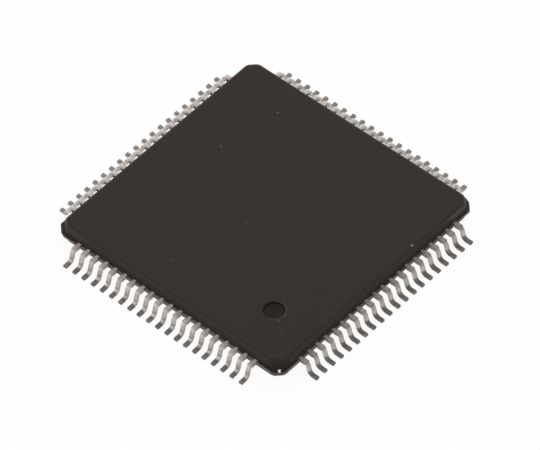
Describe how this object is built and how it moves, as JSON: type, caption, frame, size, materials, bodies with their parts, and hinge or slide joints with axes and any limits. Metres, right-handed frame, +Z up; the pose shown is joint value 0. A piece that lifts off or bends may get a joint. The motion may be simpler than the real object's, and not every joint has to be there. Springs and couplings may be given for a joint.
{
  "type": "quad flat pack chip",
  "caption": "Thin square moulded chip package with gull-wing leads along every side and a pin 1 dimple on top.",
  "frame": {"origin": "middle of the seating plane that the lead soles stand on, under the middle of the body", "axes": "+Z up through the body's top face, +X along the front side of the package and +Y towards its back side; the pin 1 dimple is in the front left corner, at -X and -Y"},
  "size_m": [0.014, 0.014, 0.0011],
  "materials": {
    "mould_compound": "dark grey filled epoxy, fine matt grain",
    "plated_lead": "matt tin plating on nickel-iron alloy",
    "lead_frame": "bare nickel-iron alloy strip, bright where cut",
    "die_adhesive": "silver filled epoxy",
    "silicon": "polished silicon",
    "gold_wire": "bright gold"
  },
  "bodies": {
    "root": {"moulded_body": "mould_compound", "die_paddle": "lead_frame", "die_attach": "die_adhesive", "silicon_die": "silicon", "leads_front_1": "plated_lead", "leads_front_2": "plated_lead", "leads_front_3": "plated_lead", "leads_front_4": "plated_lead", "leads_right_1": "plated_lead", "leads_right_2": "plated_lead", "leads_right_3": "plated_lead", "leads_right_4": "plated_lead", "leads_back_1": "plated_lead", "leads_back_2": "plated_lead", "leads_back_3": "plated_lead", "leads_back_4": "plated_lead", "leads_left_1": "plated_lead", "leads_left_2": "plated_lead", "leads_left_3": "plated_lead", "leads_left_4": "plated_lead", "bond_wires_front_1": "gold_wire", "bond_wires_front_2": "gold_wire", "bond_wires_front_3": "gold_wire", "bond_wires_front_4": "gold_wire", "bond_wires_right_1": "gold_wire", "bond_wires_right_2": "gold_wire", "bond_wires_right_3": "gold_wire", "bond_wires_right_4": "gold_wire", "bond_wires_back_1": "gold_wire", "bond_wires_back_2": "gold_wire", "bond_wires_back_3": "gold_wire", "bond_wires_back_4": "gold_wire", "bond_wires_left_1": "gold_wire", "bond_wires_left_2": "gold_wire", "bond_wires_left_3": "gold_wire", "bond_wires_left_4": "gold_wire"}
  },
  "joints": []
}
